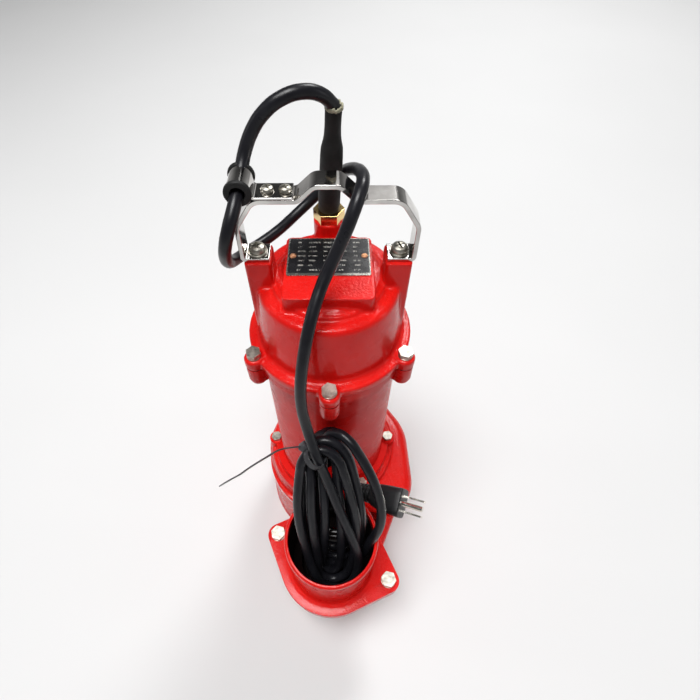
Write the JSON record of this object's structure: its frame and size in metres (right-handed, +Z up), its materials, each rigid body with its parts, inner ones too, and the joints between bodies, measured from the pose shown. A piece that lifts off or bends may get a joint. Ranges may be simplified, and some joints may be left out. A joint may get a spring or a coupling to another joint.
{
  "type": "submersible sewage pump",
  "caption": "Red cast-iron submersible sewage pump with a bolted side discharge, a chrome lifting handle and a black mains lead tied into a hank.",
  "frame": {"origin": "centre of the base ring's underside, on the motor shaft's axis", "axes": "+Z up along the motor shaft, -Y towards the upturned discharge, +X towards the scroll's wide side"},
  "size_m": [0.1961, 0.2594, 0.4979],
  "materials": {
    "red_paint": "glossy red enamel over cast iron",
    "zinc_steel": "bright zinc plate",
    "bearing_steel": "ground steel",
    "core_steel": "stacked sheet steel",
    "copper_wire": "copper",
    "ceramic": "lapped ceramic",
    "carbon": "lapped carbon",
    "rubber_seals": "moulded rubber",
    "capacitor_case": "smooth plastic can",
    "block_plastic": "moulded plastic",
    "plate_black": "black anodised sheet with a bright border",
    "chrome_strap": "polished plate",
    "brass_nut": "turned brass",
    "brass_pins": "nickel-plated brass",
    "cord_black": "smooth black rubber jacket",
    "tie_nylon": "black nylon"
  },
  "bodies": {
    "pump": {"base_ring": "red_paint", "suction_cover": "red_paint", "volute_casing": "red_paint", "motor_housing": "red_paint", "bearing_bracket": "red_paint", "upper_bracket": "red_paint", "top_cap": "red_paint", "hose_connector": "red_paint", "base_screws": "zinc_steel", "volute_bolts": "zinc_steel", "cap_bolts": "zinc_steel", "cap_washers": "zinc_steel", "handle_screws": "zinc_steel", "handle_washers": "zinc_steel", "clamp_screws": "zinc_steel", "connector_bolts": "zinc_steel", "connector_washers": "zinc_steel", "outer_races": "bearing_steel", "bearing_balls": "bearing_steel", "stator_core": "core_steel", "windings": "copper_wire", "name_plate_rivets": "copper_wire", "seal_seat": "ceramic", "cap_gasket": "rubber_seals", "connector_gasket": "rubber_seals", "gland_bush": "rubber_seals", "clamp_grommet": "rubber_seals", "run_capacitor": "capacitor_case", "terminal_block": "block_plastic", "name_plate": "plate_black", "handle": "chrome_strap", "cable_clamp": "chrome_strap", "gland_nut": "brass_nut", "plug_pins": "brass_pins", "cable_sleeve": "cord_black", "cable_lead": "cord_black", "cable_hank": "cord_black", "cable_tail": "cord_black", "plug_body": "cord_black", "cable_tie": "tie_nylon"},
    "rotor": {"shaft": "bearing_steel", "rotor_core": "core_steel", "inner_races": "bearing_steel", "impeller": "red_paint", "impeller_nut": "zinc_steel", "seal_ring": "carbon", "seal_spring": "zinc_steel"}
  },
  "joints": [
    {"name": "shaft_spin", "type": "hinge", "parent": "pump", "child": "rotor", "pos_m": [0, 0, 0], "axis": [0, 0, 1], "continuous": true}
  ]
}
